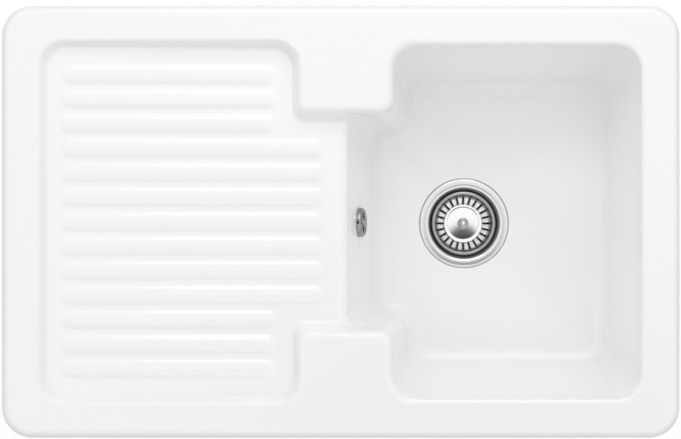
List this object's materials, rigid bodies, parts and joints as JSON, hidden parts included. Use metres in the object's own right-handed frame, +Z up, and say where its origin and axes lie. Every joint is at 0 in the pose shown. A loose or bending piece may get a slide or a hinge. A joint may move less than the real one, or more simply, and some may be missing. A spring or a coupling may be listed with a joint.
{
  "type": "inset kitchen sink",
  "caption": "White glazed inset sink with a ribbed drainer, one deep bowl, two tap ledges, basket strainer waste, overflow and swivel fixing clips.",
  "frame": {"origin": "middle of the sink in the plane of the worktop, the underside of the sealing strip", "axes": "+X along the sink from drainer to bowl, +Y to the back, +Z up"},
  "size_m": [0.8, 0.51, 0.2917],
  "materials": {
    "glaze": "glossy white glaze on fireclay",
    "sealing_foam": "closed-cell foam strip",
    "polished_steel": "pressed stainless steel, polished",
    "black_rubber": "moulded rubber",
    "white_plastic": "moulded polypropylene",
    "grey_plastic": "moulded polypropylene",
    "hose_plastic": "ribbed polypropylene",
    "brass": "turned brass",
    "chrome": "chromed brass",
    "nylon": "moulded nylon",
    "zinc_steel": "zinc-plated steel"
  },
  "bodies": {
    "sink": {"sink_body": "glaze", "rim_seal": "sealing_foam", "waste_flange": "polished_steel", "flange_gasket": "black_rubber", "body_gasket": "black_rubber", "waste_body": "white_plastic", "clamp_screw": "polished_steel", "clamp_insert": "brass", "overflow_rose": "chrome", "overflow_screw": "chrome", "overflow_gasket": "black_rubber", "overflow_elbow": "white_plastic", "overflow_insert": "brass", "overflow_hose": "hose_plastic", "hose_nut_upper": "grey_plastic", "hose_nut_lower": "grey_plastic", "hose_washer_upper": "black_rubber", "hose_washer_lower": "black_rubber", "clip_anchors": "nylon"},
    "basket": {"strainer_basket": "polished_steel", "stem_bush": "nylon"},
    "stopper": {"basket_stem": "polished_steel", "stopper_seal": "black_rubber", "stem_clip": "nylon", "basket_knob": "polished_steel"},
    "clip_screw_1": {"clip_screw_1": "zinc_steel"},
    "clip_claw_1": {"clip_claw_1": "zinc_steel"},
    "clip_screw_2": {"clip_screw_2": "zinc_steel"},
    "clip_claw_2": {"clip_claw_2": "zinc_steel"},
    "clip_screw_3": {"clip_screw_3": "zinc_steel"},
    "clip_claw_3": {"clip_claw_3": "zinc_steel"},
    "clip_screw_4": {"clip_screw_4": "zinc_steel"},
    "clip_claw_4": {"clip_claw_4": "zinc_steel"}
  },
  "joints": [
    {"name": "basket_lift", "type": "slide", "parent": "sink", "child": "basket", "axis": [0, 0, 1], "range_m": [0, 0.22]},
    {"name": "stopper_lift", "type": "slide", "parent": "basket", "child": "stopper", "axis": [0, 0, 1], "range_m": [0, 0.008]},
    {"name": "clip_1_clamp", "type": "slide", "parent": "sink", "child": "clip_screw_1", "axis": [0, 0, 1], "range_m": [0, 0.015]},
    {"name": "clip_1_swing", "type": "hinge", "parent": "clip_screw_1", "child": "clip_claw_1", "pos_m": [0.205, 0.232, -0.0612], "axis": [0, 0, 1], "range_deg": [0, 90]},
    {"name": "clip_2_clamp", "type": "slide", "parent": "sink", "child": "clip_screw_2", "axis": [0, 0, 1], "range_m": [0, 0.015]},
    {"name": "clip_2_swing", "type": "hinge", "parent": "clip_screw_2", "child": "clip_claw_2", "pos_m": [-0.25, 0.232, -0.0612], "axis": [0, 0, 1], "range_deg": [0, 90]},
    {"name": "clip_3_clamp", "type": "slide", "parent": "sink", "child": "clip_screw_3", "axis": [0, 0, 1], "range_m": [0, 0.015]},
    {"name": "clip_3_swing", "type": "hinge", "parent": "clip_screw_3", "child": "clip_claw_3", "pos_m": [-0.25, -0.232, -0.0612], "axis": [0, 0, 1], "range_deg": [0, 90]},
    {"name": "clip_4_clamp", "type": "slide", "parent": "sink", "child": "clip_screw_4", "axis": [0, 0, 1], "range_m": [0, 0.015]},
    {"name": "clip_4_swing", "type": "hinge", "parent": "clip_screw_4", "child": "clip_claw_4", "pos_m": [0.205, -0.232, -0.0612], "axis": [0, 0, 1], "range_deg": [0, 90]}
  ]
}
